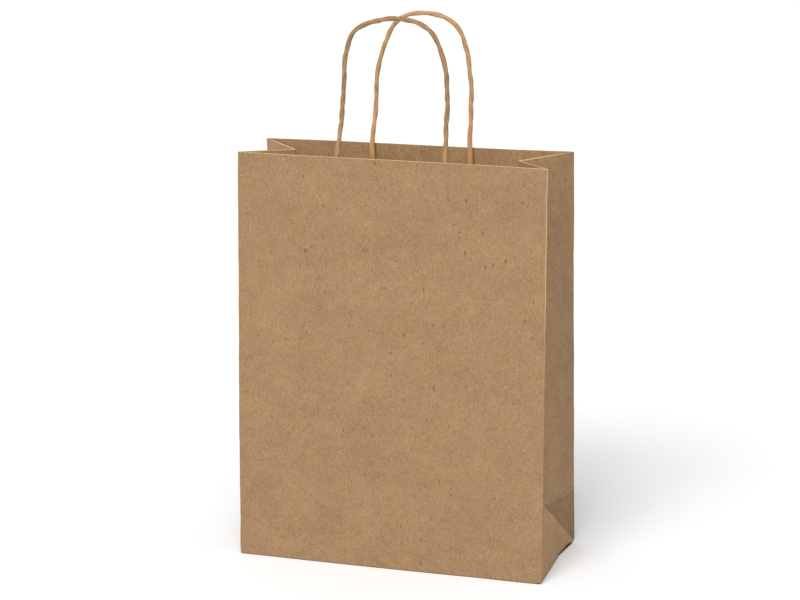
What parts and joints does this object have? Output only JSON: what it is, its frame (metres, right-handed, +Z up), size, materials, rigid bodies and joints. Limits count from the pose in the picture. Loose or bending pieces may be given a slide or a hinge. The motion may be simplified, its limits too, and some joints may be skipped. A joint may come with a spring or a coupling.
{
  "type": "gift bag",
  "caption": "Upright block-bottom kraft paper carrier bag with folding side gussets and a twisted-paper cord handle on each face.",
  "frame": {"origin": "middle of the base on the surface it stands on", "axes": "+Z up, +X to the right across the front panel, +Y towards the rear panel, so the front panel faces -Y"},
  "size_m": [0.24, 0.1, 0.4151],
  "materials": {
    "kraft_paper": "matt brown kraft paper, lightly fibrous and mottled",
    "patch_paper": "matt brown kraft paper",
    "cord_paper": "matt twisted kraft paper cord"
  },
  "bodies": {
    "base": {"base_front_flap": "kraft_paper", "base_rear_flap": "kraft_paper", "base_left_tuck": "kraft_paper", "base_right_tuck": "kraft_paper", "left_gusset_base_triangle": "kraft_paper", "right_gusset_base_triangle": "kraft_paper"},
    "front": {"front_panel": "kraft_paper", "left_gusset_front": "kraft_paper", "right_gusset_front": "kraft_paper", "front_cord_ends": "cord_paper", "front_patch_outer": "patch_paper", "front_patch_inner": "patch_paper"},
    "rear_strip": {"rear_lower_strip": "kraft_paper", "seam_lap_lower": "kraft_paper", "left_gusset_rear_corner": "kraft_paper", "right_gusset_rear_corner": "kraft_paper"},
    "rear": {"rear_panel": "kraft_paper", "seam_lap": "kraft_paper", "left_gusset_rear": "kraft_paper", "right_gusset_rear": "kraft_paper", "rear_cord_ends": "cord_paper", "rear_patch_outer": "patch_paper", "rear_patch_inner": "patch_paper"},
    "front_handle": {"front_handle_cord": "cord_paper"},
    "rear_handle": {"rear_handle_cord": "cord_paper"}
  },
  "joints": [
    {"name": "front_fold", "type": "hinge", "parent": "base", "child": "front", "pos_m": [0, -0.0497, 0.0015], "axis": [-1, 0, 0], "range_deg": [0, 78], "deforming": ["left_gusset_front", "right_gusset_front", "left_gusset_base_triangle", "right_gusset_base_triangle"]},
    {"name": "rear_strip_fold", "type": "hinge", "parent": "base", "child": "rear_strip", "pos_m": [0, 0.0497, 0.0015], "axis": [1, 0, 0], "range_deg": [0, 86.01], "deforming": ["left_gusset_rear_corner", "right_gusset_rear_corner"]},
    {"name": "rear_panel_fold", "type": "hinge", "parent": "rear_strip", "child": "rear", "pos_m": [0, 0.0487, 0.04598], "axis": [-1, 0, 0], "range_deg": [0, 171.81], "deforming": ["left_gusset_rear", "right_gusset_rear"]},
    {"name": "front_handle_swing", "type": "hinge", "parent": "front", "child": "front_handle", "pos_m": [0, -0.03963, 0.31033], "axis": [1, 0, 0], "range_deg": [0, 175]},
    {"name": "rear_handle_swing", "type": "hinge", "parent": "rear", "child": "rear_handle", "pos_m": [0, 0.02821, 0.30969], "axis": [-1, 0, 0], "range_deg": [0, 175]}
  ],
  "couplings": [
    {"joint": "rear_strip_fold", "follows": "front_fold", "ratio": 1.1026},
    {"joint": "rear_panel_fold", "follows": "front_fold", "ratio": 2.2026}
  ]
}
